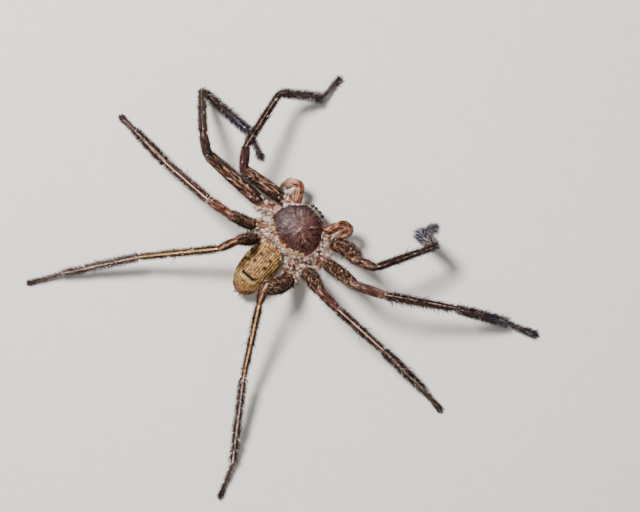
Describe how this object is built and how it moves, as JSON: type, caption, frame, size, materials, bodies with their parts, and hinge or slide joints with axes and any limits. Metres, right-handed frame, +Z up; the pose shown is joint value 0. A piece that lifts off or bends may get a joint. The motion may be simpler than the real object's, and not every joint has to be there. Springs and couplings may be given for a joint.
{
  "type": "huntsman spider",
  "caption": "Life-size still model of a huntsman spider standing on eight spread, raised legs, with carapace, egg-shaped abdomen, eyes, jaws and feelers.",
  "frame": {"origin": "on the floor, under the middle of the model's box", "axes": "+Z up, through the spider's back; the head points to -Y and the animal's left side is at +X"},
  "size_m": [0.0852, 0.0718, 0.017],
  "materials": {
    "carapace": "short grey-brown hair over a dark shell",
    "abdomen": "khaki hair with a black bar",
    "coxae": "pale pinkish skin with white hair",
    "leg": "mottled dark brown hair with pale lines",
    "foot": "dense dark pad of hair",
    "palp": "pale brown skin with white hair",
    "jaw": "polished dark brown shell",
    "eye": "glossy black lens"
  },
  "bodies": {
    "root": {"carapace": "carapace", "sternum_and_coxae": "coxae", "abdomen": "abdomen", "spinnerets": "coxae", "chelicera_l": "jaw", "eye_anterior_median_l": "eye", "eye_anterior_lateral_l": "eye", "eye_posterior_median_l": "eye", "eye_posterior_lateral_l": "eye", "palp_l_femur": "palp", "palp_l_tibia": "palp", "palp_l_tarsus": "palp", "leg_l1_femur": "leg", "leg_l1_patella": "leg", "leg_l1_tibia": "leg", "leg_l1_metatarsus": "leg", "leg_l1_tarsus": "foot", "leg_l2_femur": "leg", "leg_l2_patella": "leg", "leg_l2_tibia": "leg", "leg_l2_metatarsus": "leg", "leg_l2_tarsus": "foot", "leg_l3_femur": "leg", "leg_l3_patella": "leg", "leg_l3_tibia": "leg", "leg_l3_metatarsus": "leg", "leg_l3_tarsus": "foot", "leg_l4_femur": "leg", "leg_l4_patella": "leg", "leg_l4_tibia": "leg", "leg_l4_metatarsus": "leg", "leg_l4_tarsus": "foot", "chelicera_r": "jaw", "eye_anterior_median_r": "eye", "eye_anterior_lateral_r": "eye", "eye_posterior_median_r": "eye", "eye_posterior_lateral_r": "eye", "palp_r_femur": "palp", "palp_r_tibia": "palp", "palp_r_tarsus": "palp", "leg_r1_femur": "leg", "leg_r1_patella": "leg", "leg_r1_tibia": "leg", "leg_r1_metatarsus": "leg", "leg_r1_tarsus": "foot", "leg_r2_femur": "leg", "leg_r2_patella": "leg", "leg_r2_tibia": "leg", "leg_r2_metatarsus": "leg", "leg_r2_tarsus": "foot", "leg_r3_femur": "leg", "leg_r3_patella": "leg", "leg_r3_tibia": "leg", "leg_r3_metatarsus": "leg", "leg_r3_tarsus": "foot", "leg_r4_femur": "leg", "leg_r4_patella": "leg", "leg_r4_tibia": "leg", "leg_r4_metatarsus": "leg", "leg_r4_tarsus": "foot"}
  },
  "joints": []
}
